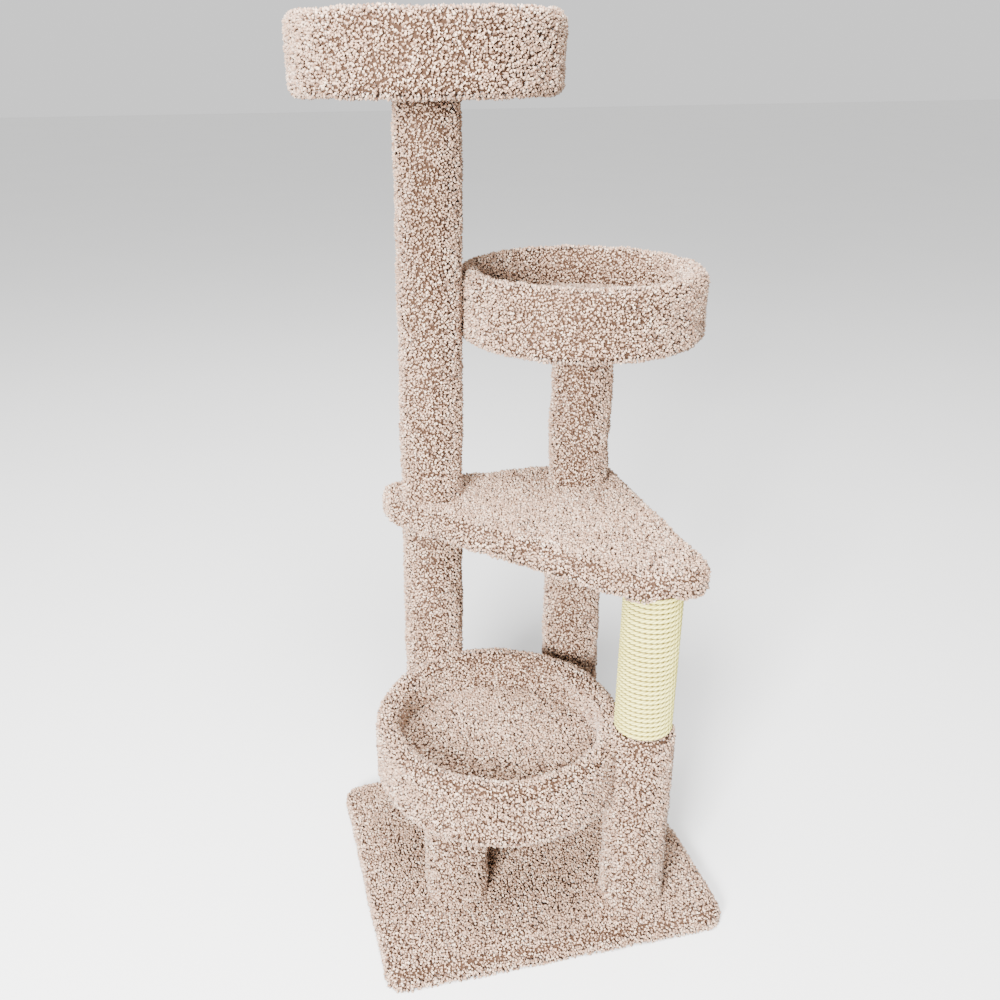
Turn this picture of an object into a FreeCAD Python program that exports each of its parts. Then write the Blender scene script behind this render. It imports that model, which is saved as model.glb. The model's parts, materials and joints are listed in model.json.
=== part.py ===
import FreeCAD, Part
import math
import os
import Sketcher
from FreeCAD import Placement, Rotation, Vector

# A carpeted cat tree: a base board, four posts on it, a mid platform, two posts
# above the platform and three round tubs. Millimetres, +Z up. The origin is the
# middle of the base board's underside, +X is to the right and +Y to the back.

dimensions = {
    # carpet and boards
    "pileThick": 14, "crushedThick": 4, "boardThick": 22, "fitGap": 0.3,
    # base
    "baseWidth": 610, "baseDepth": 504, "baseCorner": 30, "edgeRound": 10,
    # posts: cardboard tubes with a wooden plug in each end
    "tubeRadius": 40, "tubeWall": 6, "plugThick": 38,
    "leftPostX": -122, "rightPostX": 158, "rearPostY": 200,
    "frontPostX": 157, "frontPostY": -160, "shortPostX": -146, "shortPostY": -76,
    "ropeFromZ": 392, "ropeThick": 8.8,
    # platform: a board with two square corners at the back and one slanted edge
    "platformZ": 668, "platformLeft": -194, "platformRight": 229, "platformRear": 265,
    "platformFront": -198, "slantStartX": 128, "slantAngle": 40, "platformCorner": 34,
    # tubs: a ring wall nailed round a disc
    "ringRadius": 200, "ringWall": 10, "ringHeight": 100, "ringRise": 4,
    "discRise": 20, "discThick": 16, "tubHeight": 118, "rimRound": 16,
    "lowTubX": -59, "lowTubY": -38, "lowTubZ": 262,
    "rightTubX": 149, "rightTubZ": 984, "topTubZ": 1382,
    # fasteners
    "screwLength": 50, "screwRadius": 2.2, "headRadius": 4.4, "screwCircle": 18,
    "studRadius": 4, "studLength": 70, "nailRadius": 1.1, "nailLength": 20,
    "stapleWidth": 10, "stapleWire": 1.2, "stapleLeg": 8,
}

doc = FreeCAD.newDocument("cat_tree")
sheet = doc.addObject("Spreadsheet::Sheet", "dims")
for row, (alias, value) in enumerate(dimensions.items(), start=1):
    sheet.set(f"A{row}", alias)
    sheet.set(f"B{row}", str(value))
    sheet.setAlias(f"B{row}", alias)
doc.recompute()


def size(alias):
    return float(sheet.get(alias))


def evaluate(text):
    """Value of an expression of sheet aliases, as a plain number."""
    result = sheet.evalExpression(text)
    return float(getattr(result, "Value", result))


def bind(thing, prop, text):
    """Set one property from an expression written with bare aliases."""
    thing.setExpression(prop, qualified(text))


def qualified(text):
    words = sorted(dimensions, key=len, reverse=True)
    for word in words:
        text = text.replace(word, f"<<dims>>.{word}")
    return text


def newBody(label, place):
    body = doc.addObject("PartDesign::Body", label)
    body.Label = label
    for axis, text in zip("xyz", place):
        bind(body, f"Placement.Base.{axis}", text)
    return body


def newSketch(body, role="XY_Plane", lift="0"):
    plane = next(f for f in body.Origin.OriginFeatures if f.Role == role)
    sketch = body.newObject("Sketcher::SketchObject", f"{body.Label}_sketch")
    sketch.AttachmentSupport = [(plane, "")]
    sketch.MapMode = "FlatFace"
    bind(sketch, "AttachmentOffset.Base.z", lift)
    return sketch


def drawCircle(sketch, radius, centre=("0", "0")):
    x, y = (evaluate(text) for text in centre)
    circle = Part.Circle(Vector(x, y, 0), Vector(0, 0, 1), evaluate(radius))
    index = sketch.addGeometry(circle)
    for kind, text in (("DistanceX", centre[0]), ("DistanceY", centre[1])):
        start = sketch.addConstraint(Sketcher.Constraint(kind, -1, 1, index, 3, evaluate(text)))
        bind(sketch, f"Constraints[{start}]", text)
    held = sketch.addConstraint(Sketcher.Constraint("Radius", index, evaluate(radius)))
    bind(sketch, f"Constraints[{held}]", radius)


def drawPolygon(sketch, corners):
    """A closed outline through corners, each a pair of expressions."""
    points = [Vector(evaluate(x), evaluate(y), 0) for x, y in corners]
    count = len(points)
    first = sketch.GeometryCount
    for i in range(count):
        sketch.addGeometry(Part.LineSegment(points[i], points[(i + 1) % count]))
    for i in range(count):
        follower = first + (i + 1) % count
        sketch.addConstraint(Sketcher.Constraint("Coincident", first + i, 2, follower, 1))
    for i, (x, y) in enumerate(corners):
        for kind, text in (("DistanceX", x), ("DistanceY", y)):
            start = sketch.addConstraint(
                Sketcher.Constraint(kind, -1, 1, first + i, 1, evaluate(text)))
            bind(sketch, f"Constraints[{start}]", text)


def pad(body, sketch, length):
    feature = body.newObject("PartDesign::Pad", f"{body.Label}_pad")
    feature.Profile = sketch
    bind(feature, "Length", length)
    sketch.Visibility = False
    return feature


def pocket(body, sketch, length):
    """Cut upwards from the sketch and make sure that something was cut."""
    before = body.Tip.Shape.Volume
    feature = body.newObject("PartDesign::Pocket", f"{body.Label}_pocket")
    feature.Profile = sketch
    feature.Reversed = True
    bind(feature, "Length", length)
    doc.recompute()
    if feature.Shape.Volume > before - 1:
        raise RuntimeError(f"{body.Label}: the pocket cuts nothing")
    return feature


def fillet(body, radius, wanted):
    """Round the edges of the body's last feature that wanted() picks."""
    doc.recompute()
    base = body.Tip
    names = [f"Edge{i}" for i, edge in enumerate(base.Shape.Edges, start=1) if wanted(edge)]
    feature = body.newObject("PartDesign::Fillet", f"{body.Label}_fillet")
    feature.Base = (base, names)
    bind(feature, "Radius", radius)
    doc.recompute()
    return feature


def isUpright(edge):
    box = edge.BoundBox
    return box.ZLength > 1 and box.XLength < 0.01 and box.YLength < 0.01


def lyingAt(height):
    def wanted(edge):
        box = edge.BoundBox
        return abs(box.ZMin - height) < 0.01 and abs(box.ZMax - height) < 0.01
    return wanted


def disc(label, radius, thick, place):
    body = newBody(label, place)
    sketch = newSketch(body)
    drawCircle(sketch, radius)
    pad(body, sketch, thick)
    return body


def tube(label, outer, inner, length, place):
    body = newBody(label, place)
    sketch = newSketch(body)
    drawCircle(sketch, outer)
    drawCircle(sketch, inner)
    pad(body, sketch, length)
    return body


def rectangle(halfX, halfY):
    return [(f"-({halfX})", f"-({halfY})"), (halfX, f"-({halfY})"),
            (halfX, halfY), (f"-({halfX})", halfY)]


def group(label, solids):
    """Separate equal solids that share one node."""
    feature = doc.addObject("Part::Feature", label)
    feature.Label = label
    feature.Shape = Part.makeCompound(solids)
    feature.Placement = Placement()
    return feature


# ---- base: a flat board, and carpet over its top and round its edges ----

boardHalf = ("baseWidth / 2 - pileThick", "baseDepth / 2 - pileThick")
baseBoard = newBody("base_board", ("0", "0", "0"))
boardSketch = newSketch(baseBoard)
drawPolygon(boardSketch, rectangle(*boardHalf))
pad(baseBoard, boardSketch, "boardThick")
fillet(baseBoard, "baseCorner - pileThick", isUpright)

baseCarpet = newBody("base_carpet", ("0", "0", "0"))
carpetSketch = newSketch(baseCarpet)
drawPolygon(carpetSketch, rectangle("baseWidth / 2", "baseDepth / 2"))
pad(baseCarpet, carpetSketch, "boardThick + pileThick")
fillet(baseCarpet, "baseCorner", isUpright)
fillet(baseCarpet, "edgeRound", lyingAt(size("boardThick") + size("pileThick")))
hollow = newSketch(baseCarpet)
drawPolygon(hollow, rectangle(*boardHalf))
pocket(baseCarpet, hollow, "boardThick")
seats = newSketch(baseCarpet, lift="boardThick + crushedThick")
standing = (("leftPostX", "rearPostY"), ("rightPostX", "rearPostY"),
            ("frontPostX", "frontPostY"), ("shortPostX", "shortPostY"))
for spot in standing:
    drawCircle(seats, "tubeRadius + pileThick + fitGap", spot)
pocket(baseCarpet, seats, "pileThick")

# ---- platform: a board between two sheets of carpet ----


def platformOutline(grow):
    """Board outline moved outwards by grow; one edge runs on the slant."""
    slantX = f"slantStartX - ({grow}) * (1 - sin(slantAngle * 1 deg)) / cos(slantAngle * 1 deg)"
    runOut = f"({slantX} - (platformLeft - ({grow}))) / tan(slantAngle * 1 deg)"
    front = f"platformFront - ({grow})"
    right = f"platformRight + {grow}"
    rear = f"platformRear + {grow}"
    left = f"platformLeft - ({grow})"
    return [(slantX, front), (right, front), (right, rear), (left, rear),
            (left, f"{front} + {runOut}")]


platformBoard = newBody("platform_board", ("0", "0", "platformZ"))
outline = newSketch(platformBoard)
drawPolygon(outline, platformOutline("0"))
pad(platformBoard, outline, "boardThick")
fillet(platformBoard, "platformCorner", isUpright)

platformCarpet = newBody("platform_carpet", ("0", "0", "platformZ"))
outline = newSketch(platformCarpet)
drawPolygon(outline, platformOutline("pileThick"))
pad(platformCarpet, outline, "boardThick + pileThick")
fillet(platformCarpet, "platformCorner + pileThick", isUpright)
fillet(platformCarpet, "edgeRound", lyingAt(size("boardThick") + size("pileThick")))
hollow = newSketch(platformCarpet)
drawPolygon(hollow, platformOutline("0"))
pocket(platformCarpet, hollow, "boardThick")
seats = newSketch(platformCarpet, lift="boardThick + crushedThick")
for spot in standing[:2]:
    drawCircle(seats, "tubeRadius + pileThick + fitGap", spot)
pocket(platformCarpet, seats, "pileThick")

underCarpet = newBody("platform_under_carpet", ("0", "0", "platformZ - pileThick"))
outline = newSketch(underCarpet)
drawPolygon(outline, platformOutline("pileThick"))
pad(underCarpet, outline, "pileThick")
fillet(underCarpet, "platformCorner + pileThick", isUpright)
fillet(underCarpet, "edgeRound", lyingAt(0))
seats = newSketch(underCarpet)
for spot in standing[:3]:
    drawCircle(seats, "tubeRadius + pileThick + fitGap", spot)
pocket(underCarpet, seats, "pileThick - crushedThick")

# ---- posts: name, place, lowest and highest point, top of the carpet sleeve ----

onBase = "boardThick + crushedThick"
underPlatform = "platformZ - crushedThick"
onPlatform = "platformZ + boardThick + crushedThick"
posts = (
    ("rear_left_lower", "leftPostX", "rearPostY", onBase, underPlatform, underPlatform),
    ("rear_right_lower", "rightPostX", "rearPostY", onBase, underPlatform, underPlatform),
    ("front_right", "frontPostX", "frontPostY", onBase, underPlatform, "ropeFromZ"),
    ("short_front", "shortPostX", "shortPostY", onBase, "lowTubZ + discRise",
     "lowTubZ + discRise"),
    ("rear_left_upper", "leftPostX", "rearPostY", onPlatform, "topTubZ + discRise",
     "topTubZ + discRise"),
    ("rear_right_upper", "rightPostX", "rearPostY", onPlatform, "rightTubZ + discRise",
     "rightTubZ + discRise"),
)
sleeves = {}
for name, x, y, low, high, carpetTop in posts:
    length = f"{high} - ({low})"
    tube(f"{name}_tube", "tubeRadius", "tubeRadius - tubeWall", length, (x, y, low))
    plugRadius = "tubeRadius - tubeWall"
    disc(f"{name}_bottom_plug", plugRadius, "plugThick", (x, y, low))
    disc(f"{name}_top_plug", plugRadius, "plugThick", (x, y, f"{high} - plugThick"))
    sleeves[name] = tube(f"{name}_sleeve", "tubeRadius + pileThick", "tubeRadius",
                         f"{carpetTop} - ({low})", (x, y, low))

# The low tub presses into the pile of two posts: their sleeves give way to its ring.
for name, x, y in (("rear_left_lower", "leftPostX", "rearPostY"),
                   ("front_right", "frontPostX", "frontPostY")):
    doc.recompute()
    notch = newSketch(sleeves[name], lift=f"lowTubZ - ({onBase})")
    drawCircle(notch, "ringRadius + fitGap", (f"lowTubX - {x}", f"lowTubY - {y}"))
    pocket(sleeves[name], notch, "tubHeight")

# ---- rope on the front right post: the outer shape of its close turns ----


def ropeWinding():
    """A tube whose outside is one half-round ridge for each turn of rope."""
    low, high = size("ropeFromZ") + 0.3, evaluate(qualified(underPlatform)) - 0.3
    turns = round((high - low) / size("ropeThick"))
    pitch = (high - low) / turns
    inner = size("tubeRadius") + 0.05
    root = inner + size("ropeThick") - pitch / 2
    edges = [Part.makeLine(Vector(inner, 0, high), Vector(inner, 0, low)),
             Part.makeLine(Vector(inner, 0, low), Vector(root, 0, low))]
    for turn in range(turns):
        bottom = low + turn * pitch
        edges.append(Part.Arc(Vector(root, 0, bottom),
                              Vector(root + pitch / 2, 0, bottom + pitch / 2),
                              Vector(root, 0, bottom + pitch)).toShape())
    edges.append(Part.makeLine(Vector(root, 0, high), Vector(inner, 0, high)))
    face = Part.Face(Part.Wire(edges))
    return face.revolve(Vector(0, 0, 0), Vector(0, 0, 1), 360)


rope = doc.addObject("Part::Feature", "sisal_rope")
rope.Label = "sisal_rope"
rope.Shape = ropeWinding()
rope.Placement = Placement(Vector(size("frontPostX"), size("frontPostY"), 0), Rotation())

# ---- tubs: a disc, a ring wall round it, carpet over the wall and on the floor ----


def wallCarpet(label, place):
    """Carpet that wraps the ring: up its outside, over the rim, down its inside."""
    body = newBody(label, place)
    sketch = newSketch(body, "XZ_Plane")
    outer = "ringRadius + pileThick"
    inner = "ringRadius - ringWall - pileThick"
    ringInner = "ringRadius - ringWall"
    drawPolygon(sketch, [
        (ringInner, "discRise + discThick"), (inner, "discRise + discThick"),
        (inner, "tubHeight"), (outer, "tubHeight"), (outer, "0"),
        (f"{ringInner} - crushedThick", "0"),
        (f"{ringInner} - crushedThick", "discRise - 2"), (ringInner, "discRise - 2"),
        (ringInner, "ringRise"), ("ringRadius", "ringRise"),
        ("ringRadius", "ringRise + ringHeight"), (ringInner, "ringRise + ringHeight")])
    turn = body.newObject("PartDesign::Revolution", f"{label}_turn")
    turn.Profile = sketch
    turn.ReferenceAxis = (sketch, ["V_Axis"])
    turn.Angle = 360
    doc.recompute()

    def isRim(edge):
        box = edge.BoundBox
        top = lyingAt(size("tubHeight"))(edge)
        foot = lyingAt(0)(edge) and box.XLength > 2 * evaluate(qualified(outer)) - 1
        return top or foot

    fillet(body, "rimRound", isRim)
    return body


tubs = (
    ("low_tub", "lowTubX", "lowTubY", "lowTubZ"),
    ("right_tub", "rightTubX", "rearPostY", "rightTubZ"),
    ("top_tub", "leftPostX", "rearPostY", "topTubZ"),
)
for name, x, y, z in tubs:
    tube(f"{name}_ring", "ringRadius", "ringRadius - ringWall", "ringHeight",
         (x, y, f"{z} + ringRise"))
    disc(f"{name}_disc", "ringRadius - ringWall", "discThick", (x, y, f"{z} + discRise"))
    disc(f"{name}_floor_carpet", "ringRadius - ringWall - pileThick", "pileThick",
         (x, y, f"{z} + discRise + discThick"))
    wall = wallCarpet(f"{name}_wall_carpet", (x, y, z))
    if name == "low_tub":
        notch = newSketch(wall)
        for postX, postY in (standing[0], standing[2]):
            drawCircle(notch, "tubeRadius + pileThick + fitGap",
                       (f"{postX} - {x}", f"{postY} - {y}"))
        pocket(wall, notch, "tubHeight + 1")

# ---- fasteners ----


def at(solid, x, y, z, upwards=True):
    """A copy of a solid that points up, moved to a point and turned over if need be."""
    spin = Rotation() if upwards else Rotation(Vector(1, 0, 0), 180)
    copy = solid.copy()
    copy.Placement = Placement(Vector(x, y, z), spin)
    return copy


def woodScrew(length):
    """Countersunk screw, head underside at 0, pointing up."""
    shank, head = size("screwRadius"), size("headRadius")
    cone = Part.makeCone(head, shank, head - shank)
    body = Part.makeCylinder(shank, length - 4 - (head - shank), Vector(0, 0, head - shank))
    tip = Part.makeCone(shank, 0.4, 4, Vector(0, 0, length - 4))
    return cone.fuse([body, tip]).removeSplitter()


def onCircle(x, y, count=3):
    radius = size("screwCircle")
    for i in range(count):
        angle = 2 * math.pi * i / count
        yield x + radius * math.cos(angle), y + radius * math.sin(angle)


def spotOf(x, y):
    return size(x), size(y)


screw = woodScrew(size("screwLength"))
group("base_screws", [at(screw, px, py, 0)
                      for spot in standing for px, py in onCircle(*spotOf(*spot))])

boardTop = size("platformZ") + size("boardThick")
group("platform_screws", [at(screw, px, py, boardTop, upwards=False)
                          for px, py in onCircle(*spotOf("frontPostX", "frontPostY"))])

studBottom = size("platformZ") + size("boardThick") / 2 - size("studLength") / 2
stud = Part.makeCylinder(size("studRadius"), size("studLength"))
group("platform_studs", [at(stud, *spotOf(*spot), studBottom) for spot in standing[:2]])

discTop = size("discRise") + size("discThick")
tubPosts = (("shortPostX", "shortPostY", "lowTubZ"), ("rightPostX", "rearPostY", "rightTubZ"),
            ("leftPostX", "rearPostY", "topTubZ"))
tubScrew = woodScrew(size("screwLength") - 10)
group("tub_screws", [at(tubScrew, px, py, size(z) + discTop, upwards=False)
                     for x, y, z in tubPosts for px, py in onCircle(*spotOf(x, y))])


def nailsAround(x, y, z, radius, count):
    """Nails driven level towards a post's or a tub's axis."""
    shank = Part.makeCylinder(size("nailRadius"), size("nailLength"))
    for i in range(count):
        turn = 360 * (i + 0.5) / count
        nail = shank.copy()
        spin = Rotation(Vector(0, 0, 1), turn) * Rotation(Vector(0, 1, 0), -90)
        out = Rotation(Vector(0, 0, 1), turn).multVec(Vector(radius, 0, 0))
        nail.Placement = Placement(Vector(x, y, z) + out, spin)
        yield nail


ringNails = []
for name, x, y, z in tubs:
    middle = size(z) + size("discRise") + size("discThick") / 2
    ringNails += nailsAround(size(x), size(y), middle, size("ringRadius"), 8)
group("ring_nails", ringNails)

plugNails = []
for name, x, y, low, high, _ in posts:
    for level in (evaluate(qualified(low)) + size("plugThick") / 2,
                  evaluate(qualified(high)) - size("plugThick") / 2):
        plugNails += nailsAround(size(x), size(y), level, size("tubeRadius"), 3)
group("plug_nails", plugNails)

# Staples: two legs and a crown of flat wire, crown along X, legs pointing up.
wire, leg, crown = size("stapleWire"), size("stapleLeg"), size("stapleWidth")
bar = Part.makeBox(crown, wire, wire, Vector(-crown / 2, -wire / 2, 0))
legs = [Part.makeBox(wire, wire, leg, Vector(x, -wire / 2, 0))
        for x in (-crown / 2, crown / 2 - wire)]
staple = bar.fuse(legs).removeSplitter()


def stapleAt(point, inwards, along):
    """One staple with its legs pointing inwards and its crown lying along a line."""
    copy = staple.copy()
    sideways = inwards.cross(along)
    matrix = FreeCAD.Matrix(along.x, sideways.x, inwards.x, point.x,
                            along.y, sideways.y, inwards.y, point.y,
                            along.z, sideways.z, inwards.z, point.z, 0, 0, 0, 1)
    copy.Placement = Placement(matrix)
    return copy


def edgeStaples():
    """Staples along the board's four edges, near its underside."""
    halfX = evaluate(qualified(boardHalf[0]))
    halfY = evaluate(qualified(boardHalf[1]))
    level = size("boardThick") / 3
    for side in (-1, 1):
        for i in range(-3, 4):
            yield stapleAt(Vector(i * halfX / 4, side * (halfY + wire), level),
                           Vector(0, -side, 0), Vector(1, 0, 0))
        for i in range(-2, 3):
            yield stapleAt(Vector(side * (halfX + wire), i * halfY / 3, level),
                           Vector(-side, 0, 0), Vector(0, 1, 0))


group("base_staples", list(edgeStaples()))

underside = size("platformZ") - wire
inset = 20
groupPoints = [Vector(x, size("platformRear") - inset, underside) for x in (-60, 20, 80)]
groupPoints += [Vector(size("platformRight") - inset, y, underside) for y in (-60, 10, 80)]
group("platform_staples", [stapleAt(point, Vector(0, 0, 1), Vector(1, 0, 0))
                           for point in groupPoints])


def skirtStaples(x, y, z, count=10):
    """Staples that hold the turned-in carpet to the inside of the ring's foot."""
    radius = evaluate(qualified("ringRadius - ringWall")) - wire
    for i in range(count):
        angle = 2 * math.pi * i / count
        out = Vector(math.cos(angle), math.sin(angle), 0)
        yield stapleAt(Vector(x, y, z) + out * radius, out, Vector(-out.y, out.x, 0))


tubStaples = []
for name, x, y, z in tubs:
    tubStaples += skirtStaples(size(x), size(y), size(z) + size("discRise") / 2)
group("tub_staples", tubStaples)

# Each sleeve's edges meet in a seam at the back, held by staples into the tube.
seamStaples = []
for name, x, y, low, high, carpetTop in posts:
    bottom, top = evaluate(qualified(low)) + 15, evaluate(qualified(carpetTop)) - 15
    count = max(2, round((top - bottom) / 90))
    for i in range(count + 1):
        level = bottom + (top - bottom) * i / count
        point = Vector(size(x), size(y) + size("tubeRadius") + wire, level)
        seamStaples.append(stapleAt(point, Vector(0, -1, 0), Vector(1, 0, 0)))
group("sleeve_staples", seamStaples)

ropeNails = []
for level in (size("ropeFromZ") + 10, evaluate(qualified(underPlatform)) - 10):
    ropeNails += nailsAround(size("frontPostX"), size("frontPostY"), level,
                             size("tubeRadius") + 3, 1)
group("rope_nails", ropeNails)

# ---- check every object, then write one file for each sub-part ----

doc.recompute()
for thing in doc.Objects:
    if "Invalid" in thing.State or "Error" in thing.State:
        raise RuntimeError(f"{thing.Label} failed: {thing.State}")

subParts = [thing for thing in doc.Objects
            if thing.TypeId in ("PartDesign::Body", "Part::Feature")]
os.makedirs("parts", exist_ok=True)
for thing in subParts:
    shape = thing.Shape
    if shape.isNull() or not shape.isValid() or not shape.Solids:
        raise RuntimeError(f"{thing.Label} has no sound shape")
    shape.exportStep(f"parts/{thing.Label}.step")
    print(f"{thing.Label}: {len(shape.Solids)} solid(s), {shape.Volume / 1000:.1f} cm3")
print(f"{len(subParts)} sub-parts")
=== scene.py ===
import json
import math
import bpy
from mathutils import Matrix, Vector, noise


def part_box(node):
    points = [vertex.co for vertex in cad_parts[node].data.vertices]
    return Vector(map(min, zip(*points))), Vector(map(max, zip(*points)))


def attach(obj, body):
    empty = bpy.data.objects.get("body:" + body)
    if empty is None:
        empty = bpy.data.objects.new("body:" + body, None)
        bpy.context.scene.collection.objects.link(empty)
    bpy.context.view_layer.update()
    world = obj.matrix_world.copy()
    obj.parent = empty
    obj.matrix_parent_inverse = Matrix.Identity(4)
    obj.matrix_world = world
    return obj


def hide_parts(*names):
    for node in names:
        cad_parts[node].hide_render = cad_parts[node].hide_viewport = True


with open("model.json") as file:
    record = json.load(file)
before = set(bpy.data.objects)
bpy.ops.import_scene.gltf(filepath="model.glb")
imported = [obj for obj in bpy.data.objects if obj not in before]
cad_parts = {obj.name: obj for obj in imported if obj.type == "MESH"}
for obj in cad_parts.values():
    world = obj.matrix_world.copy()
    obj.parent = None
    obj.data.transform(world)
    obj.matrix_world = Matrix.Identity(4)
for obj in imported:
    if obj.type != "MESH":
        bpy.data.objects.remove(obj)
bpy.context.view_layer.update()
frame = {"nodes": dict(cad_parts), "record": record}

nodes = frame["nodes"]
print("frame loaded:", len(nodes), "parts")


class Value:
    # a number on its way through a node tree; operators add Math nodes
    def __init__(self, tree, socket):
        self.tree = tree
        self.socket = socket

    def maths(self, operation, *others):
        return self.tree.add("ShaderNodeMath", {"operation": operation}, [self, *others])[0]

    def __add__(self, other):
        return self.maths("ADD", other)

    def __mul__(self, other):
        return self.maths("MULTIPLY", other)

    def __sub__(self, other):
        return self.maths("SUBTRACT", other)

    def __truediv__(self, other):
        return self.maths("DIVIDE", other)

    def __gt__(self, other):
        return self.maths("GREATER_THAN", other)

    __radd__ = __add__
    __rmul__ = __mul__


class Tree:
    # one node tree, material or geometry, filled by add()
    def __init__(self, group):
        self.group = group

    def add(self, kind, settings=None, sockets=None, out=None):
        node = self.group.nodes.new(kind)
        for name, value in (settings or {}).items():
            if name == "stops":
                self.setStops(node.color_ramp, value)
            else:
                setattr(node, name, value)
        given = enumerate(sockets) if isinstance(sockets, list) else (sockets or {}).items()
        for key, value in given:
            self.feed(node.inputs[key], value)
        if out is not None:
            return Value(self, node.outputs[out])
        return [Value(self, socket) for socket in node.outputs if socket.enabled]

    def feed(self, socket, value):
        if value is None:
            return
        if isinstance(value, Value):
            self.group.links.new(value.socket, socket)
        else:
            socket.default_value = value

    def setStops(self, ramp, stops):
        while len(ramp.elements) < len(stops):
            ramp.elements.new(0.5)
        for element, (place, colour) in zip(ramp.elements, stops):
            element.position = place
            element.color = (*colour, 1)

    def mixColours(self, amount, first, second, blend="MIX"):
        settings = {"data_type": "RGBA", "blend_type": blend}
        sockets = {"Factor": amount, 6: rgba(first), 7: rgba(second)}
        return self.add("ShaderNodeMix", settings, sockets, out=2)

    def noise(self, place, scale, detail=2.0, roughness=0.5):
        return self.add("ShaderNodeTexNoise", None, {
            "Vector": place, "Scale": scale, "Detail": detail, "Roughness": roughness}, out=0)


def rgba(colour):
    return colour if isinstance(colour, Value) else (*colour, 1)


def newMaterial(name, paint):
    # paint(tree, place) returns the Principled sockets; place is in metres on the object
    material = bpy.data.materials.new(name)
    material.use_nodes = True
    tree = Tree(material.node_tree)
    tree.group.nodes.clear()
    place = tree.add("ShaderNodeTexCoord", out="Object")
    shader = tree.add("ShaderNodeBsdfPrincipled", None, paint(tree, place), out=0)
    tree.add("ShaderNodeOutputMaterial", None, {"Surface": shader})
    return material


def stretched(tree, place, by):
    return tree.add("ShaderNodeMapping", None, {"Vector": place, "Scale": by}, out=0)


def bumped(tree, height, strength, distance):
    return tree.add("ShaderNodeBump", None, {
        "Height": height, "Strength": strength, "Distance": distance}, out=0)


# tone is a tuft's own random shade; tip runs from 0 at its root to 1 at its end
yarnLook = {
    "shades": [(0.0, (0.10, 0.046, 0.025)), (0.12, (0.25, 0.135, 0.080)),
               (0.30, (0.43, 0.260, 0.165)), (0.60, (0.56, 0.360, 0.245)),
               (0.86, (0.70, 0.490, 0.350)), (1.0, (0.84, 0.660, 0.510))],
    # painted shade: each tuft darkens towards its root, in the shade between the tufts
    "rootShade": (0.070, 0.034, 0.019),
    "patchColour": (0.46, 0.280, 0.180),
    "patchSize": 16.0,
    "patchFrom": 0.44, "patchStrength": 2.6,
    "tipStrength": 1.30,
    "roughness": 0.95,
}


def paintYarn(tree, place):
    tone = tree.add("ShaderNodeAttribute", {"attribute_name": "tone"}, out="Fac")
    tip = tree.add("ShaderNodeAttribute", {"attribute_name": "tip"}, out="Fac")
    shade = tree.add("ShaderNodeValToRGB", {"stops": yarnLook["shades"]}, {"Fac": tone}, out=0)
    patch = tree.noise(place, yarnLook["patchSize"], 3.0)
    patchAmount = (patch - yarnLook["patchFrom"]) * yarnLook["patchStrength"]
    patchy = tree.mixColours(patchAmount, shade, yarnLook["patchColour"])
    # painted shade: the colour falls to the dark root colour towards each tuft's root
    colour = tree.mixColours(tip * yarnLook["tipStrength"], yarnLook["rootShade"], patchy)
    return {"Base Color": colour, "Roughness": yarnLook["roughness"], "Sheen Weight": 0.25,
            "Sheen Roughness": 0.5, "Specular IOR Level": 0.2}


# painted shade: the backing seen in the gaps between tufts is near black, so the gaps read as shadow
backingShadeLook = {"dark": (0.040, 0.021, 0.013), "light": (0.10, 0.055, 0.034), "grain": 420.0,
               "bump": 0.6}


def paintBackingShade(tree, place):
    grain = tree.noise(place, backingShadeLook["grain"], 3.0, 0.7)
    colour = tree.mixColours(grain, backingShadeLook["dark"], backingShadeLook["light"])
    return {"Base Color": colour, "Roughness": 0.95, "Specular IOR Level": 0.1,
            "Normal": bumped(tree, grain, backingShadeLook["bump"], 0.002)}


sisalLook = {
    "dark": (0.50, 0.40, 0.06), "light": (0.90, 0.84, 0.18), "pale": (0.97, 0.94, 0.36),
    # painted shade in the grooves between the strands
    "grooveShade": (0.22, 0.16, 0.035),
    "fibreScale": (300, 300, 1400), "wornSize": 38.0, "bandsPerRope": 70, "paleness": 0.45,
}


def paintSisal(tree, place):
    along = tree.add("ShaderNodeAttribute", {"attribute_name": "run"}, out="Fac")
    fibres = tree.noise(stretched(tree, place, sisalLook["fibreScale"]), 1.0, 4.0, 0.65)
    worn = tree.noise(place, sisalLook["wornSize"], 2.0)
    base = tree.mixColours(fibres, sisalLook["dark"], sisalLook["light"])
    bands = tree.noise(along * sisalLook["bandsPerRope"], 1.0, 1.0)
    colour = tree.mixColours((worn + bands) * sisalLook["paleness"], base, sisalLook["pale"])
    # painted shade: the grooves between the strands are darkened towards the groove colour
    proud = tree.add("ShaderNodeAttribute", {"attribute_name": "proud"}, out="Fac")
    colour = tree.mixColours(proud, sisalLook["grooveShade"], colour)
    return {"Base Color": colour, "Roughness": 0.85, "Specular IOR Level": 0.25,
            "Normal": bumped(tree, fibres, 0.35, 0.0008)}


plyLook = {
    "dark": (0.50, 0.33, 0.18), "light": (0.80, 0.63, 0.42), "speck": (0.30, 0.17, 0.08),
    "grainScale": (4, 70, 240), "speckScale": (60, 420, 420),
    "speckFrom": 0.68, "speckStrength": 0.35,
}


def paintPly(tree, place):
    grain = tree.noise(stretched(tree, place, plyLook["grainScale"]), 1.0, 5.0, 0.62)
    speck = tree.noise(stretched(tree, place, plyLook["speckScale"]), 1.0, 2.0)
    colour = tree.mixColours(grain, plyLook["dark"], plyLook["light"])
    specks = (speck > plyLook["speckFrom"]) * plyLook["speckStrength"]
    colour = tree.mixColours(specks, colour, plyLook["speck"])
    return {"Base Color": colour, "Roughness": grain * 0.2 + 0.6,
            "Normal": bumped(tree, grain, 0.3, 0.0008)}


plugLook = {"dark": (0.58, 0.38, 0.20), "light": (0.82, 0.64, 0.41), "ringScale": (30, 9, 9)}


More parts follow.
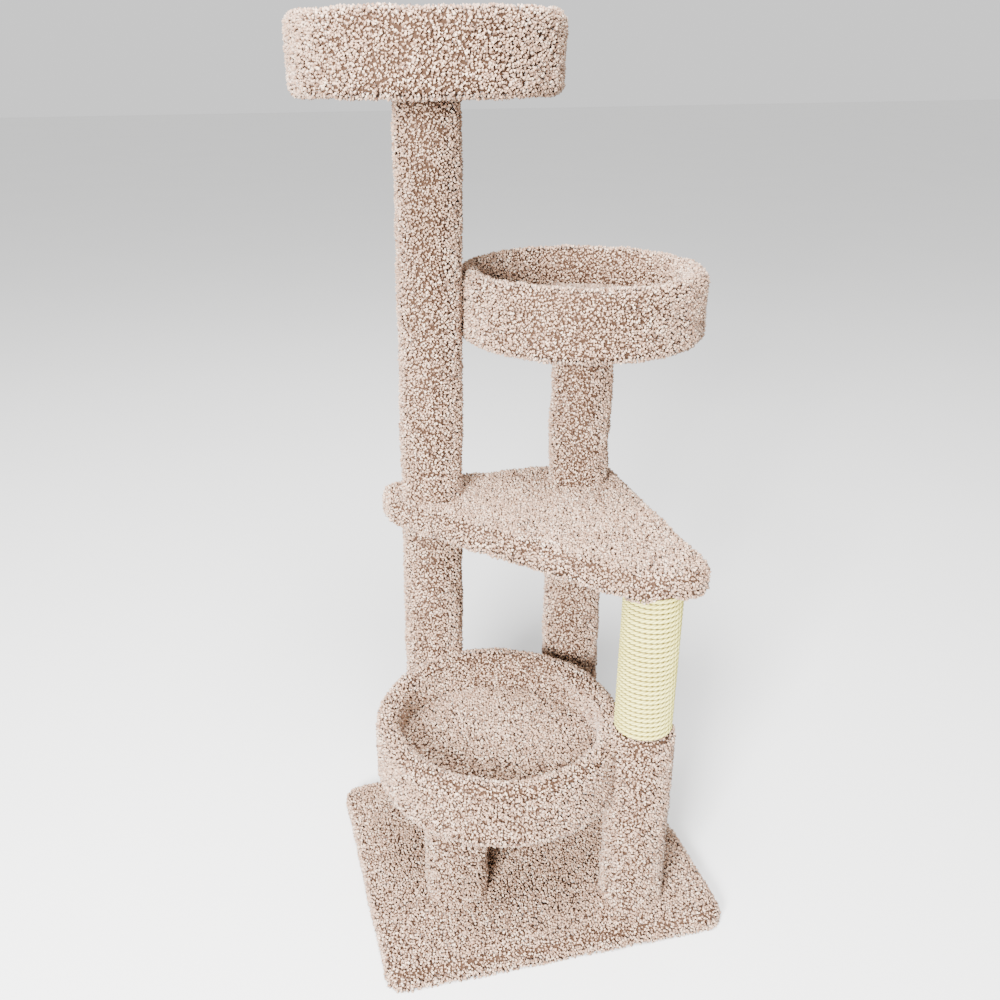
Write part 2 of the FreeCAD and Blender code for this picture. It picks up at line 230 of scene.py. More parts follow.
def paintPlug(tree, place):
    rings = tree.add("ShaderNodeTexWave", {"wave_type": "RINGS", "rings_direction": "X"}, {
        "Vector": stretched(tree, place, plugLook["ringScale"]), "Scale": 5.0, "Distortion": 2.5,
        "Detail": 3.0}, out=1)
    colour = tree.mixColours(rings, plugLook["dark"], plugLook["light"])
    return {"Base Color": colour, "Roughness": rings * 0.15 + 0.6,
            "Normal": bumped(tree, rings, 0.2, 0.0006)}


cardLook = {"dark": (0.34, 0.23, 0.13), "light": (0.56, 0.42, 0.28),
            "fibreScale": (500, 500, 60)}


def paintCard(tree, place):
    fibre = tree.noise(stretched(tree, place, cardLook["fibreScale"]), 1.0, 4.0, 0.6)
    colour = tree.mixColours(fibre, cardLook["dark"], cardLook["light"])
    return {"Base Color": colour, "Roughness": fibre * 0.15 + 0.75,
            "Normal": bumped(tree, fibre, 0.25, 0.0005)}


steelLook = {"dark": (0.50, 0.50, 0.48), "light": (0.74, 0.73, 0.70), "mottle": 900.0}


def paintSteel(tree, place):
    mottle = tree.noise(place, steelLook["mottle"], 3.0)
    colour = tree.mixColours(mottle, steelLook["dark"], steelLook["light"])
    return {"Base Color": colour, "Metallic": 1.0, "Roughness": mottle * 0.25 + 0.3,
            "Normal": bumped(tree, mottle, 0.1, 0.0002)}


floorLook = {"dark": (0.88, 0.88, 0.875), "light": (0.91, 0.91, 0.905), "patches": 1.2}


def paintFloor(tree, place):
    soft = tree.noise(place, floorLook["patches"], 2.0)
    colour = tree.mixColours(soft, floorLook["dark"], floorLook["light"])
    return {"Base Color": colour, "Roughness": 0.9, "Specular IOR Level": 0.1}


yarn = newMaterial("carpetYarn", paintYarn)
backingShade = newMaterial("carpetBackingShade", paintBackingShade)
sisal = newMaterial("sisalRope", paintSisal)
ply = newMaterial("rawPly", paintPly)
plugWood = newMaterial("sawnPlug", paintPlug)
card = newMaterial("kraftCard", paintCard)
steel = newMaterial("zincSteel", paintSteel)
floorPaint = newMaterial("paleFloor", paintFloor)

hidden = {"steel": steel, "card_tube": card, "plug_wood": plugWood, "board": ply}
for part in frame["record"]["subparts"]:
    if part["material_slot"] in hidden:
        mesh = nodes[part["node"]].data
        mesh.materials.clear()
        mesh.materials.append(hidden[part["material_slot"]])
print("materials made")


view = {"spot": (-0.48405, -1.46484, 1.43414), "turn": 13.275, "down": 22.976, "roll": -0.41,
        "lens": 36.55, "shift": (0.0516, -0.0122)}
camera = bpy.data.objects.new("camera", bpy.data.cameras.new("camera"))
bpy.context.scene.collection.objects.link(camera)
aim = (Matrix.Rotation(math.radians(-view["turn"]), 4, "Z")
       @ Matrix.Rotation(math.radians(90 - view["down"]), 4, "X")
       @ Matrix.Rotation(math.radians(view["roll"]), 4, "Z"))
camera.matrix_world = Matrix.Translation(view["spot"]) @ aim
camera.data.lens = view["lens"]
camera.data.shift_x, camera.data.shift_y = view["shift"]
camera.data.clip_end = 200
bpy.context.scene.camera = camera

studio = {"floorSize": 60.0, "world": (1.0, 1.0, 1.0), "worldStrength": 1.05, "aim": (0, 0, 0.7),
          # each lamp: its name, place, width and power
          "lamps": (("key", (-1.9, -2.7, 1.75), 0.9, 640), ("top", (-0.6, -1.2, 4.2), 1.6, 440),
                    ("back", (0.6, 3.2, 3.0), 2.0, 20))}
floorMesh = bpy.data.meshes.new("floor")
half = studio["floorSize"] / 2
floorMesh.from_pydata([(-half, -half, 0), (half, -half, 0), (half, half, 0), (-half, half, 0)],
                      [], [(0, 1, 2, 3)])
floor = bpy.data.objects.new("floor", floorMesh)
bpy.context.scene.collection.objects.link(floor)
floorMesh.materials.append(floorPaint)
floor.visible_diffuse = False    # the floor throws no light up on the pile

world = bpy.data.worlds.new("studio")
bpy.context.scene.world = world
world.use_nodes = True
world.node_tree.nodes["Background"].inputs[0].default_value = rgba(studio["world"])
world.node_tree.nodes["Background"].inputs[1].default_value = studio["worldStrength"]
for name, spot, width, power in studio["lamps"]:
    lamp = bpy.data.lights.new(name, "AREA")
    lamp.energy = power
    lamp.size = width
    light = bpy.data.objects.new(name, lamp)
    bpy.context.scene.collection.objects.link(light)
    light.location = spot
    light.rotation_euler = (Vector(studio["aim"]) - Vector(spot)).to_track_quat("-Z", "Y").to_euler()
print("camera, floor and lights placed")


def linkMesh(name, points, faces, material):
    mesh = bpy.data.meshes.new(name)
    mesh.from_pydata(points, [], faces)
    mesh.materials.append(material)
    thing = bpy.data.objects.new(name, mesh)
    bpy.context.scene.collection.objects.link(thing)
    return thing


def skinOf(name, rings, bare, looped):
    # rings of equal length run from one end of the section to the other; a ring of one
    # repeated point closes the skin; bare(centre, step) says where no tufts stand
    count = len(rings[0])
    points, faces, piled = [], [], []
    starts = []
    for ring in rings:
        starts.append(len(points))
        pole = (ring[0] - ring[count // 2]).length < 1e-6
        points += [ring[0]] if pole else ring
    ends = starts + [len(points)]
    steps = len(rings) if looped else len(rings) - 1
    for step in range(steps):
        after = (step + 1) % len(rings)
        low, high = starts[step], starts[after]
        lowPole = ends[step + 1] - low == 1
        highPole = ends[after + 1] - high == 1
        for i in range(count):
            j = (i + 1) % count
            corners = [low if lowPole else low + i]
            if not lowPole:
                corners.append(low + j)
            corners.append(high if highPole else high + j)
            if not highPole:
                corners.append(high + i)
            faces.append(corners)
            centre = sum((points[c] for c in corners), Vector()) / len(corners)
            piled.append(not bare(centre, step))
    skin = linkMesh(name, points, faces, backingShade)
    attribute = skin.data.attributes.new("piled", "BOOLEAN", "FACE")
    attribute.data.foreach_set("value", piled)
    skin.data.polygons.foreach_set("use_smooth", [True] * len(faces))
    return skin


pile = {
    "sink": 0.0048,       # the skin lies this far under the tips
    "tuftSpacing": 0.0026,
    "tuftRadius": 0.0026,
    "tuftLength": 0.0066,
    "lean": 0.45,
    "lumpHeight": 0.0045,
    "lumpSize": 22.0,
    "fineLump": 0.0014,
    "fineRatio": 9,       # fine lumps are this many times smaller
    "spin": 3.1416,
    "densest": 200000.0,
    "stoutness": (0.72, 1.30),
}


tuftLook = {"sides": 3, "shoulder": 0.62, "end": (0.12, 0.05, 1.0)}


def makeTuft():
    # a three-sided bud of yarn, its root at the origin, one unit long and wide
    sides, shoulder = tuftLook["sides"], tuftLook["shoulder"]
    points = [Vector((0, 0, 0))]
    for i in range(sides):
        angle = 2 * math.pi * i / sides
        points.append(Vector((math.cos(angle), math.sin(angle), shoulder)))
    points.append(Vector(tuftLook["end"]))
    faces = []
    for i in range(sides):
        a, b = 1 + i, 1 + (i + 1) % sides
        faces += [(0, b, a), (sides + 1, a, b)]
    tuft = linkMesh("tuftShape", points, faces, yarn)
    tips = tuft.data.attributes.new("tip", "FLOAT", "POINT")
    tips.data.foreach_set("value", [0.0] + [shoulder] * sides + [1.0])
    tuft.data.polygons.foreach_set("use_smooth", [True] * len(faces))
    return tuft


def pileTree():
    group = bpy.data.node_groups.new("carpetPile", "GeometryNodeTree")
    face = group.interface
    face.new_socket("Geometry", in_out="OUTPUT", socket_type="NodeSocketGeometry")
    face.new_socket("Geometry", in_out="INPUT", socket_type="NodeSocketGeometry")
    kinds = (("tuftSpacing", "NodeSocketFloat"), ("tuftRadius", "NodeSocketFloat"),
             ("tuftLength", "NodeSocketFloat"), ("lean", "NodeSocketFloat"),
             ("lumpHeight", "NodeSocketFloat"), ("lumpSize", "NodeSocketFloat"),
             ("fineLump", "NodeSocketFloat"), ("seed", "NodeSocketInt"),
             ("tuft", "NodeSocketObject"))
    for name, kind in kinds:
        face.new_socket(name, in_out="INPUT", socket_type=kind)
    tree = Tree(group)
    given = group.nodes.new("NodeGroupInput")
    put = {socket.name: Value(tree, socket) for socket in given.outputs if socket.name}

    standing = tree.add("GeometryNodeInputNamedAttribute", {"data_type": "BOOLEAN"},
                        {"Name": "piled"})[0]
    spread = tree.add("GeometryNodeDistributePointsOnFaces", {"distribute_method": "POISSON"}, {
        "Mesh": put["Geometry"], "Selection": standing, "Distance Min": put["tuftSpacing"],
        "Density Max": pile["densest"], "Seed": put["seed"]})
    points, normal, turn = spread[0], spread[1], spread[2]
    place = tree.add("GeometryNodeInputPosition")[0]
    broad = tree.noise(place, put["lumpSize"], 2.0) - 0.5
    fine = tree.noise(place, put["lumpSize"] * pile["fineRatio"], 1.0) - 0.5
    rise = broad * put["lumpHeight"] * 2 + fine * put["fineLump"] * 2
    lift = tree.add("ShaderNodeVectorMath", {"operation": "SCALE"},
                    {0: normal, "Scale": rise}, out=0)
    raised = tree.add("GeometryNodeSetPosition", None,
                      {"Geometry": points, "Offset": lift})[0]

    tiltBy = tree.add("ShaderNodeCombineXYZ", None, [put["lean"], put["lean"], pile["spin"]])[0]
    tiltBack = tree.add("ShaderNodeVectorMath", {"operation": "SCALE"},
                        {0: tiltBy, "Scale": -1.0}, out=0)
    tilt = tree.add("FunctionNodeRandomValue", {"data_type": "FLOAT_VECTOR"}, {
        0: tiltBack, 1: tiltBy, "Seed": put["seed"] + 7}, out=0)
    tiltTurn = tree.add("FunctionNodeEulerToRotation", None, [tilt])[0]
    turned = tree.add("FunctionNodeRotateRotation", {"rotation_space": "LOCAL"},
                      [turn, tiltTurn])[0]
    stout = tree.add("FunctionNodeRandomValue", {"data_type": "FLOAT"}, {
        2: pile["stoutness"][0], 3: pile["stoutness"][1], "Seed": put["seed"] + 11}, out=1)
    wide = put["tuftRadius"] * stout
    size = tree.add("ShaderNodeCombineXYZ", None, [wide, wide, put["tuftLength"] * stout])[0]
    bud = tree.add("GeometryNodeObjectInfo", {"transform_space": "ORIGINAL"},
                   {"Object": put["tuft"]}, out="Geometry")
    planted = tree.add("GeometryNodeInstanceOnPoints", None, {
        "Points": raised, "Instance": bud, "Rotation": turned, "Scale": size})[0]
    tone = tree.add("FunctionNodeRandomValue", {"data_type": "FLOAT"}, {
        2: 0.0, 3: 1.0, "Seed": put["seed"] + 23}, out=1)
    toned = tree.add("GeometryNodeStoreNamedAttribute",
                     {"data_type": "FLOAT", "domain": "INSTANCE"},
                     {"Geometry": planted, "Name": "tone", "Value": tone})[0]
    real = tree.add("GeometryNodeRealizeInstances", None, {"Geometry": toned})[0]
    tufts = tree.add("GeometryNodeSetMaterial", None, {"Geometry": real, "Material": yarn})[0]
    base = tree.add("GeometryNodeSetMaterial", None,
                    {"Geometry": put["Geometry"], "Material": backingShade})[0]
    joined = group.nodes.new("GeometryNodeJoinGeometry")
    group.links.new(tufts.socket, joined.inputs[0])
    group.links.new(base.socket, joined.inputs[0])
    done = group.nodes.new("NodeGroupOutput")
    group.links.new(joined.outputs[0], done.inputs[0])
    return group


# where each family of pieces starts its random draws
seeds = {"sleeves": 1, "tubWalls": 20, "tubFloors": 30, "base": 41, "platform": 42,
         "platformUnder": 43}
tuftShape = makeTuft()
growPile = pileTree()
socketNames = {item.name: item.identifier for item in growPile.interface.items_tree
               if item.in_out == "INPUT"}
print("pile tree made")


def grown(skin, seed, **changes):
    # plant the tufts, then keep the result as a plain mesh
    modifier = skin.modifiers.new("pile", "NODES")
    modifier.node_group = growPile
    values = {**pile, **changes, "seed": seed, "tuft": tuftShape}
    for name, identifier in socketNames.items():
        if name in values:
            modifier[identifier] = values[name]
    seen = skin.evaluated_get(bpy.context.evaluated_depsgraph_get())
    finished = bpy.data.meshes.new_from_object(seen)
    skin.modifiers.clear()
    old = skin.data
    skin.data = finished
    bpy.data.meshes.remove(old)
    return skin


def settle(piece, node):
    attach(piece, "root")
    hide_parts(node)
    print(piece.name, len(piece.data.polygons), "faces")


def circleRing(centre, radius, height, count):
    return [Vector((centre[0] + radius * math.cos(2 * math.pi * i / count),
                    centre[1] + radius * math.sin(2 * math.pi * i / count), height))
            for i in range(count)]


def arcPoints(centre, radius, start, end, steps):
    # points of a section, (outwards, height), round an arc given in degrees
    for i in range(steps + 1):
        angle = math.radians(start + (end - start) * i / steps)
        yield (centre[0] + radius * math.cos(angle), centre[1] + radius * math.sin(angle))


def middle(node):
    low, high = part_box(node)
    return (low + high) / 2


def inside(place, centre, radius, low, high):
    flat = math.hypot(place.x - centre[0], place.y - centre[1])
    return flat < radius and low < place.z < high


sleeveLook = {
    "outer": 0.054, "inner": 0.0402,    # radius of the pile's tips, and of the card tube
    "rowHeight": 0.012, "count": 44,
    "edge": 0.003,                      # bevel of the cut ends
    "wobble": 0.0012, "wobbleSize": 14,
    "thinnest": 0.0012,                 # what is left where a tub presses into the sleeve
    "tubReach": 0.2035, "bareMargin": 0.002,
}


def sleeveSkin(name, node, clears):
    low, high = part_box(node)
    spot = middle(node.replace("_sleeve", "_tube"))
    outer = sleeveLook["outer"] - pile["sink"]
    inner = sleeveLook["inner"]
    edge = sleeveLook["edge"]
    rows = max(2, round((high.z - low.z) / sleeveLook["rowHeight"]))
    section = [(inner, low.z)]
    section += [(outer - edge, low.z), (outer, low.z + edge)]
    for i in range(1, rows):
        section.append((outer, low.z + (high.z - low.z) * i / rows))
    section += [(outer, high.z - edge), (outer - edge, high.z), (inner, high.z)]
    rings = []
    for out, z in section:
        ring = circleRing(spot, out, z, sleeveLook["count"])
        if out > inner + 0.001:
            for point in ring:
                away = Vector((point.x - spot.x, point.y - spot.y, 0)).normalized()
                ripple = noise.noise(point * sleeveLook["wobbleSize"])
                point += away * ripple * sleeveLook["wobble"]
                for centre, reach, bottom, top in clears:
                    gap = math.hypot(point.x - centre[0], point.y - centre[1])
                    if bottom < point.z < top and gap < reach:
                        push = Vector((point.x - centre[0], point.y - centre[1], 0)) / gap
                        point += push * (reach - gap)
                least = inner + sleeveLook["thinnest"]
                short = least - math.hypot(point.x - spot.x, point.y - spot.y)
                if short > 0:
                    point += away * short
        rings.append(ring)
    last = len(rings) - 1

    def bare(centre, step):
        if step == last:
            return True
        return any(inside(centre, axis, reach + sleeveLook["bareMargin"], bottom, top)
                   for axis, reach, bottom, top in clears)

    return skinOf(name, rings, bare, looped=True)


def tubRoom(tub):
    # where a tub presses a sleeve back: its axis, its reach, its foot and its rim
    low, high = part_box(f"{tub}_wall_carpet")
    axis = middle(f"{tub}_ring")
    return ((axis.x, axis.y), sleeveLook["tubReach"], low.z, high.z)


sleeves = ("rear_left_lower", "rear_right_lower", "front_right", "short_front",
           "rear_left_upper", "rear_right_upper")
for order, post in enumerate(sleeves):
    clears = [tubRoom("low_tub")] if post in ("rear_left_lower", "front_right") else []
    piece = sleeveSkin(f"{post}_carpet", f"{post}_sleeve", clears)
    settle(grown(piece, seeds["sleeves"] + order), f"{post}_sleeve")
print("post sleeves done")


tubLook = {
    "outer": 0.214, "inner": 0.176,          # radius of the tips outside and inside
    "ringOuter": 0.2002, "ringInner": 0.1898, "foldInner": 0.187,
    "foldLow": 0.004, "foldHigh": 0.018,     # where the turned-in carpet starts and ends
    "footRound": 0.011, "floorRise": 0.036,
    "count": 128, "rowHeight": 0.012, "rimSteps": 10, "footSteps": 4,
    "pressFrom": 0.2025, "postReach": 0.0455, "postBare": 0.049,
}
cushionLook = {
    "count": 96, "edge": 0.1745, "dome": 0.009, "edgeDrop": 0.004,
    "rings": (0.170, 0.160, 0.145, 0.128, 0.11, 0.09, 0.07, 0.05, 0.03, 0.015, 0),
}


def tubSection(low, high):
    # runs up the outside, over the rim, down the inside and back under the ring
    sink = pile["sink"]
    outer, inner = tubLook["outer"] - sink, tubLook["inner"] + sink
    ringOuter, ringInner = tubLook["ringOuter"], tubLook["ringInner"]
    foldInner, foldLow, foldHigh = tubLook["foldInner"], tubLook["foldLow"], tubLook["foldHigh"]
    top, bottom = high - sink, low + sink * 0.6
    rim = (outer - inner) / 2
    foot = tubLook["footRound"]
    floor = low + tubLook["floorRise"]
    section = [(foldInner, bottom)]
    section += arcPoints((outer - foot, bottom + foot), foot, -90, 0, tubLook["footSteps"])
    rows = round((top - rim - bottom - foot) / tubLook["rowHeight"])
    for i in range(1, rows):
        section.append((outer, bottom + foot + (top - rim - bottom - foot) * i / rows))
    section += arcPoints(((outer + inner) / 2, top - rim), rim, 0, 180, tubLook["rimSteps"])
    rows = round((top - rim - floor) / tubLook["rowHeight"])
    for i in range(1, rows):
        section.append((inner, top - rim + (floor - top + rim) * i / rows))
    hiddenSide = [(inner, floor), (ringInner, floor), (ringInner, top - rim),
                  (ringOuter, top - rim), (ringOuter, low + foldLow),
                  (ringInner, low + foldLow), (ringInner, low + foldHigh),
                  (foldInner, low + foldHigh)]
    return section, hiddenSide


def underPost(place, posts, radius):
    return any(math.hypot(place.x - p.x, place.y - p.y) < radius for p in posts)


def tubWall(name, tub, posts):
    low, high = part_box(f"{tub}_wall_carpet")
    spot = middle(f"{tub}_ring")
    shown, hiddenSide = tubSection(low.z, high.z)
    reach = tubLook["postReach"]
    rings = []
    for out, z in shown + hiddenSide:
        ring = circleRing(spot, out, z, tubLook["count"])
        if out > tubLook["pressFrom"]:
            for point in ring:
                for centre in posts:
                    gap = math.hypot(point.x - centre.x, point.y - centre.y)
                    if gap < reach:
                        away = Vector((point.x - centre.x, point.y - centre.y, 0)) / gap
                        point += away * (reach - gap)
        rings.append(ring)

    def bare(centre, step):
        return step > len(shown) or underPost(centre, posts, tubLook["postBare"])

    return skinOf(name, rings, bare, looped=True)


def tubFloor(name, tub):
    low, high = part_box(f"{tub}_floor_carpet")
    spot = middle(f"{tub}_ring")
    edge, count = cushionLook["edge"], cushionLook["count"]
    top = high.z - pile["sink"]
    rings = [circleRing(spot, 0, low.z, count), circleRing(spot, edge, low.z, count)]
    for out in (edge, *cushionLook["rings"]):
        drop = cushionLook["edgeDrop"] if out == edge else 0
        dome = cushionLook["dome"] * (1 - (out / edge) ** 2) - drop
        rings.append(circleRing(spot, out, top + dome, count))
    return skinOf(name, rings, lambda centre, step: step < 2, looped=False)


tubs = {"low_tub": ("rear_left_lower_tube", "front_right_tube"), "right_tub": (),
        "top_tub": ()}
for order, (tub, beside) in enumerate(tubs.items()):
    wall = tubWall(f"{tub}_wall_pile", tub, [middle(post) for post in beside])
    settle(grown(wall, seeds["tubWalls"] + order), f"{tub}_wall_carpet")
    cushion = tubFloor(f"{tub}_floor_pile", tub)
    settle(grown(cushion, seeds["tubFloors"] + order), f"{tub}_floor_carpet")
print("tubs done")


plateLook = {
    "step": 0.012, "cornerSteps": 1.6,
    "edge": 0.011, "underEdge": 0.008,     # rounding of the top and of the under carpet
    "sideRows": 3, "rings": 18,
    "postReach": 0.050, "postBare": 0.0495, "postDip": 0.0035,
    "boardInset": 0.0138, "gap": 0.0002,
    "topBand": 0.02, "underBand": 0.012,    # depth within which a post's foot is left bare
}
baseLook = {"corner": 0.030, "lift": 0.0012, "lowest": 0.0003}
platformLook = {"corner": 0.048, "slant": 40, "slantFrom": 0.128, "pileOut": 0.014}


def roundedOutline(corners, radius, step=plateLook["step"]):
    # a convex outline with its corners rounded, walked anticlockwise in small steps
    count = len(corners)
    outline = []
    for i in range(count):
        here = Vector(corners[i])
        before = (Vector(corners[i - 1]) - here).normalized()
        after = (Vector(corners[(i + 1) % count]) - here).normalized()
        opening = before.angle(after)
        reach = radius / math.tan(opening / 2)
        centre = here + (before + after).normalized() * (radius / math.sin(opening / 2))
        start, end = here + before * reach, here + after * reach
        if outline:
            run = start - outline[-1]
            pieces = max(1, round(run.length / step))
            origin = outline[-1].copy()
            outline += [origin + run * k / pieces for k in range(1, pieces)]
        turn = math.pi - opening
        steps = max(3, round(turn * radius / step * plateLook["cornerSteps"]))
        first = math.atan2(start.y - centre.y, start.x - centre.x)
        outline += [centre + Vector((math.cos(first + turn * k / steps),
                                     math.sin(first + turn * k / steps))) * radius
                    for k in range(steps + 1)]
    run = outline[0] - outline[-1]
    pieces = max(1, round(run.length / step))
    origin = outline[-1].copy()
    outline += [origin + run * k / pieces for k in range(1, pieces)]
    return outline


def shrunk(outline, inset):
    # move every point inwards along its own normal
    count = len(outline)
    result = []
    for i in range(count):
        along = outline[(i + 1) % count] - outline[i - 1]
        inwards = Vector((-along.y, along.x)).normalized()
        result.append(outline[i] + inwards * inset)
    return result


def atHeight(outline, z):
    return [Vector((p.x, p.y, z)) for p in outline]


def scaled(outline, centre, by, z):
    return [Vector((centre.x + (p.x - centre.x) * by, centre.y + (p.y - centre.y) * by, z))
            for p in outline]


def plateSkin(name, outline, levels, posts):
    # levels: top of the board, underside of the carpet's edge, tips of the pile
    sink = pile["sink"]
    boardTop, edgeLow, pileTop = levels
    middlePoint = sum(outline, Vector((0, 0))) / len(outline)
    edge = plateLook["edge"]
    board = shrunk(outline, plateLook["boardInset"])
    rings = [scaled(board, middlePoint, 0, boardTop), atHeight(board, boardTop),
             atHeight(board, edgeLow), atHeight(shrunk(outline, sink), edgeLow)]
    sideRows = plateLook["sideRows"]
    top = pileTop - sink
    for i in range(1, sideRows):
        z = edgeLow + (top - edge - edgeLow) * i / sideRows
        rings.append(atHeight(shrunk(outline, sink), z))
    for out, z in arcPoints((edge, top - edge), edge, 180, 90, 4):
        rings.append(atHeight(shrunk(outline, sink + out), z))
    rim = shrunk(outline, sink + edge)
    steps = plateLook["rings"]
    for i in range(1, steps + 1):
        ring = scaled(rim, middlePoint, 1 - i / steps, top)
        for point in ring:
            if underPost(point, posts, plateLook["postReach"]):
                point.z = boardTop + plateLook["postDip"]
        rings.append(ring)

    def bare(centre, step):
        atPost = centre.z > top - plateLook["topBand"] and underPost(centre, posts, plateLook["postBare"])
        return step < 3 or atPost

    return skinOf(name, rings, bare, looped=False)


def underSkin(name, outline, top, bottom, posts):
    # the second sheet of carpet, below the platform board, its pile hanging down
    middlePoint = sum(outline, Vector((0, 0))) / len(outline)
    sink = pile["sink"]
    edge = plateLook["underEdge"]
    low = bottom + sink
    flat = shrunk(outline, sink)
    rings = [scaled(flat, middlePoint, 0, low)]
    steps = plateLook["rings"]
    for i in range(steps - 1, 0, -1):
        ring = scaled(shrunk(flat, edge), middlePoint, 1 - i / steps, low)
        for point in ring:
            if underPost(point, posts, plateLook["postReach"]):
                point.z = top - plateLook["postDip"]
        rings.append(ring)
    for out, z in arcPoints((edge, low + edge), edge, 270, 180, 3):
        rings.append(atHeight(shrunk(flat, out), z))
    rings.append(atHeight(flat, top))
    rings.append(scaled(flat, middlePoint, 0, top))
    last = len(rings) - 2

    def bare(centre, step):
        atPost = centre.z < low + plateLook["underBand"] and underPost(centre, posts, plateLook["postBare"])
        return step >= last or atPost

    return skinOf(name, rings, bare, looped=False)


def boxCorners(node):
    low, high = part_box(node)
    return [(low.x, low.y), (high.x, low.y), (high.x, high.y), (low.x, high.y)]


standing = [middle(f"{post}_tube") for post in sleeves[:4]]
low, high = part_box("base_carpet")
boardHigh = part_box("base_board")[1]
baseOutline = roundedOutline(boxCorners("base_carpet"), baseLook["corner"])
baseLevels = (boardHigh.z + plateLook["gap"], low.z + baseLook["lift"], high.z)
basePile = grown(plateSkin("base_pile", baseOutline, baseLevels, standing), seeds["base"])
for vertex in basePile.data.vertices:
    vertex.co.z = max(vertex.co.z, baseLook["lowest"])    # squashed flat on the floor
settle(basePile, "base_carpet")


def platformCorners():
    # two square corners at the back, one at the front, and the long slanted edge
    low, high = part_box("platform_carpet")
    slant = math.radians(platformLook["slant"])
    inwards = platformLook["pileOut"] * (1 - math.sin(slant)) / math.cos(slant)
    frontX = platformLook["slantFrom"] - inwards
    leftY = low.y + (frontX - low.x) / math.tan(slant)
    return [(frontX, low.y), (high.x, low.y), (high.x, high.y), (low.x, high.y),
            (low.x, leftY)]


low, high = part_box("platform_carpet")
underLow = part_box("platform_under_carpet")[0]
boardLow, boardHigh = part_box("platform_board")
outline = roundedOutline(platformCorners(), platformLook["corner"])
platformLevels = (boardHigh.z + plateLook["gap"], boardLow.z, high.z)
topSkin = plateSkin("platform_pile", outline, platformLevels, standing[:2])
settle(grown(topSkin, seeds["platform"]), "platform_carpet")
lowerSkin = underSkin("platform_under_pile", outline, boardLow.z - plateLook["gap"], underLow.z,
                      standing[:3])
settle(grown(lowerSkin, seeds["platformUnder"]), "platform_under_carpet")
print("base and platform done")


ropeLook = {
    "thick": 0.0088, "tubeRadius": 0.0401,
    "strands": 3, "strandRadius": 0.0021, "strandOut": 0.0022,
    "twistLength": 0.027, "stepsPerTwist": 8, "sides": 6,
    # painted shade: these set how the groove darkening fades outwards
    "grooveSpan": 0.62, "grooveLift": 0.02,    # how fast the colour pales outwards
}


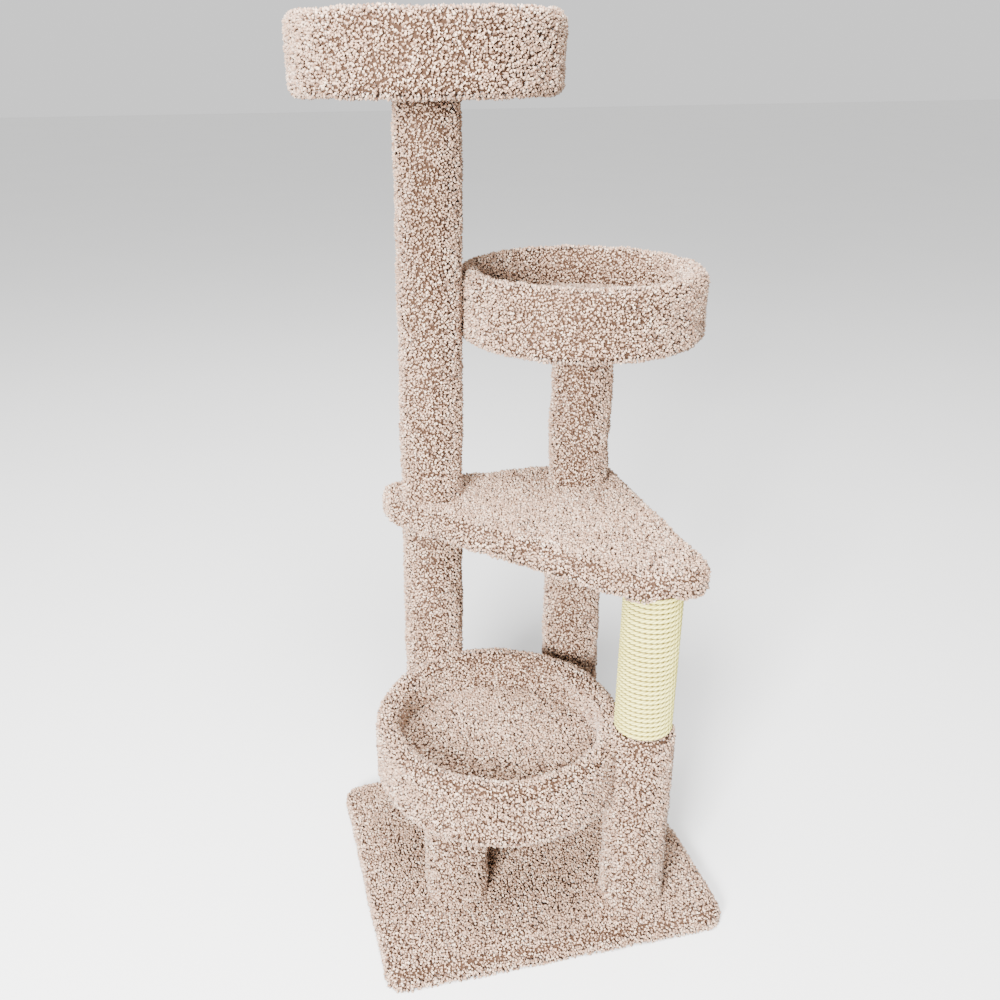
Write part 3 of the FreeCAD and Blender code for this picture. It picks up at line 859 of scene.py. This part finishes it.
def ropeTree():
    group = bpy.data.node_groups.new("ropeWinding", "GeometryNodeTree")
    face = group.interface
    face.new_socket("Geometry", in_out="OUTPUT", socket_type="NodeSocketGeometry")
    kinds = (("turns", "NodeSocketFloat"), ("radius", "NodeSocketFloat"),
             ("height", "NodeSocketFloat"), ("twists", "NodeSocketFloat"),
             ("steps", "NodeSocketInt"), ("strandRadius", "NodeSocketFloat"),
             ("strandOut", "NodeSocketFloat"), ("material", "NodeSocketMaterial"))
    for name, kind in kinds:
        face.new_socket(name, in_out="INPUT", socket_type=kind)
    tree = Tree(group)
    given = group.nodes.new("NodeGroupInput")
    put = {socket.name: Value(tree, socket) for socket in given.outputs if socket.name}
    joined = group.nodes.new("GeometryNodeJoinGeometry")
    for strand in range(ropeLook["strands"]):
        line = tree.add("GeometryNodeMeshLine", {"mode": "END_POINTS"}, {
            "Count": put["steps"], "Start Location": (0, 0, 0), "Offset": (1, 0, 0)})[0]
        run = tree.add("ShaderNodeSeparateXYZ", None,
                       [tree.add("GeometryNodeInputPosition")[0]])[0]
        kept = tree.add("GeometryNodeStoreNamedAttribute",
                        {"data_type": "FLOAT", "domain": "POINT"},
                        {"Geometry": line, "Name": "run", "Value": run})[0]
        turn = run * put["turns"] * (2 * math.pi)
        twist = run * put["twists"] * (2 * math.pi) + 2 * math.pi * strand / ropeLook["strands"]
        out = put["radius"] + twist.maths("COSINE") * put["strandOut"]
        up = run * put["height"] + twist.maths("SINE") * put["strandOut"]
        spot = tree.add("ShaderNodeCombineXYZ", None,
                        [turn.maths("COSINE") * out, turn.maths("SINE") * out, up])[0]
        wound = tree.add("GeometryNodeSetPosition", None,
                         {"Geometry": kept, "Position": spot})[0]
        curve = tree.add("GeometryNodeMeshToCurve", None, {"Mesh": wound})[0]
        section = tree.add("GeometryNodeCurvePrimitiveCircle", None, {
            "Resolution": ropeLook["sides"], "Radius": put["strandRadius"]})[0]
        tube = tree.add("GeometryNodeCurveToMesh", None, {
            "Curve": curve, "Profile Curve": section, "Fill Caps": True})[0]
        group.links.new(tube.socket, joined.inputs[0])
    real = tree.add("GeometryNodeRealizeInstances", None,
                    {"Geometry": Value(tree, joined.outputs[0])})[0]
    place = tree.add("GeometryNodeInputPosition")[0]
    level = tree.add("ShaderNodeVectorMath", {"operation": "MULTIPLY"},
                     {0: place, 1: (1, 1, 0)}, out=0)
    reach = tree.add("ShaderNodeVectorMath", {"operation": "LENGTH"}, {0: level}, out=1)
    # 1 on the outer side of the rope and 0 down in its grooves, which take painted shade
    proud = (reach - put["radius"]) / put["strandOut"] * ropeLook["grooveSpan"]
    proud = proud + ropeLook["grooveLift"]
    marked = tree.add("GeometryNodeStoreNamedAttribute",
                      {"data_type": "FLOAT", "domain": "POINT"},
                      {"Geometry": real, "Name": "proud", "Value": proud})[0]
    smooth = tree.add("GeometryNodeSetShadeSmooth", None, {"Geometry": marked})[0]
    finish = tree.add("GeometryNodeSetMaterial", None,
                      {"Geometry": smooth, "Material": put["material"]})[0]
    done = group.nodes.new("NodeGroupOutput")
    group.links.new(finish.socket, done.inputs[0])
    return group


def makeRope():
    low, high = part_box("sisal_rope")
    spot = middle("front_right_tube")
    thick = ropeLook["thick"]
    turns = (high.z - low.z - thick) / thick
    radius = ropeLook["tubeRadius"] + thick / 2
    length = turns * math.hypot(2 * math.pi * radius, thick)
    twists = length / ropeLook["twistLength"]
    values = {"turns": turns, "radius": radius, "height": high.z - low.z - thick,
              "twists": twists, "steps": round(twists * ropeLook["stepsPerTwist"]),
              "strandRadius": ropeLook["strandRadius"], "strandOut": ropeLook["strandOut"],
              "material": sisal}
    group = ropeTree()
    piece = linkMesh("sisal_winding", [Vector((0, 0, 0))], [], sisal)
    modifier = piece.modifiers.new("rope", "NODES")
    modifier.node_group = group
    for item in group.interface.items_tree:
        if item.in_out == "INPUT":
            modifier[item.identifier] = values[item.name]
    seen = piece.evaluated_get(bpy.context.evaluated_depsgraph_get())
    finished = bpy.data.meshes.new_from_object(seen)
    piece.modifiers.clear()
    piece.data = finished
    finished.transform(Matrix.Translation((spot.x, spot.y, low.z + thick / 2)))
    print("rope length", round(length, 2))
    return piece


settle(makeRope(), "sisal_rope")


bpy.data.objects.remove(tuftShape)
